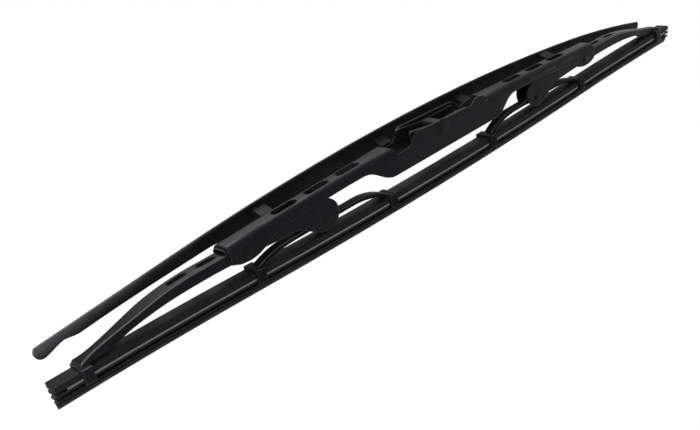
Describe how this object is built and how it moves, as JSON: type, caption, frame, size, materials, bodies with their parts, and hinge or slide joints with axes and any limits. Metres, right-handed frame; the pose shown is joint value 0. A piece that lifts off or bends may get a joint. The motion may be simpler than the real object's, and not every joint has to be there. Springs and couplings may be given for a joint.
{
  "type": "wiper blade",
  "caption": "Bridge-frame wiper blade: arched primary bridge with a hook adapter, rocking levers and yokes, clawed rubber with steel strips, and a wing spoiler.",
  "frame": {"origin": "centre of the arm rivet, half way between the saddle walls", "axes": "+X along the blade, +Y towards the spoiler, +Z away from the glass"},
  "size_m": [0.5301, 0.028, 0.0461],
  "materials": {
    "bridge_paint": "satin black paint",
    "rivet_paint": "satin black paint",
    "bush_plastic": "moulded",
    "adapter_plastic": "moulded",
    "spoiler_plastic": "moulded, fine grain",
    "wiper_rubber": "matt",
    "strip_steel": "rolled"
  },
  "bodies": {
    "frame": {"primary_bridge": "bridge_paint", "spoiler": "spoiler_plastic", "wiper_rubber": "wiper_rubber", "front_flexor_strip": "strip_steel", "rear_flexor_strip": "strip_steel", "arm_rivet": "rivet_paint", "left_bridge_bush": "bush_plastic", "right_bridge_bush": "bush_plastic", "left_bridge_rivet": "rivet_paint", "right_bridge_rivet": "rivet_paint"},
    "adapter": {"arm_adapter": "adapter_plastic"},
    "left_lever": {"left_secondary_bridge": "bridge_paint", "left_yoke_bush": "bush_plastic", "left_yoke_rivet": "rivet_paint"},
    "left_rocker": {"left_yoke": "bridge_paint"},
    "right_lever": {"right_secondary_bridge": "bridge_paint", "right_yoke_bush": "bush_plastic", "right_yoke_rivet": "rivet_paint"},
    "right_rocker": {"right_yoke": "bridge_paint"}
  },
  "joints": [
    {"name": "left_bridge_rock", "type": "hinge", "parent": "frame", "child": "left_lever", "pos_m": [-0.151, 0, -0.0093], "axis": [0, 1, 0], "range_deg": [-3, 3], "stiffness_Nm_per_rad": 1.5, "deforming": ["wiper_rubber", "front_flexor_strip", "rear_flexor_strip"]},
    {"name": "left_yoke_rock", "type": "hinge", "parent": "left_lever", "child": "left_rocker", "pos_m": [-0.0965, 0, -0.0175], "axis": [0, 1, 0], "range_deg": [-5, 5], "stiffness_Nm_per_rad": 1, "deforming": ["wiper_rubber", "front_flexor_strip", "rear_flexor_strip"]},
    {"name": "right_bridge_rock", "type": "hinge", "parent": "frame", "child": "right_lever", "pos_m": [0.151, 0, -0.0093], "axis": [0, 1, 0], "range_deg": [-3, 3], "stiffness_Nm_per_rad": 1.5, "deforming": ["wiper_rubber", "front_flexor_strip", "rear_flexor_strip"]},
    {"name": "right_yoke_rock", "type": "hinge", "parent": "right_lever", "child": "right_rocker", "pos_m": [0.0965, 0, -0.0175], "axis": [0, 1, 0], "range_deg": [-5, 5], "stiffness_Nm_per_rad": 1, "deforming": ["wiper_rubber", "front_flexor_strip", "rear_flexor_strip"]},
    {"name": "adapter_tilt", "type": "hinge", "parent": "frame", "child": "adapter", "pos_m": [0, 0, 0], "axis": [0, 1, 0], "range_deg": [-15, 15]}
  ]
}
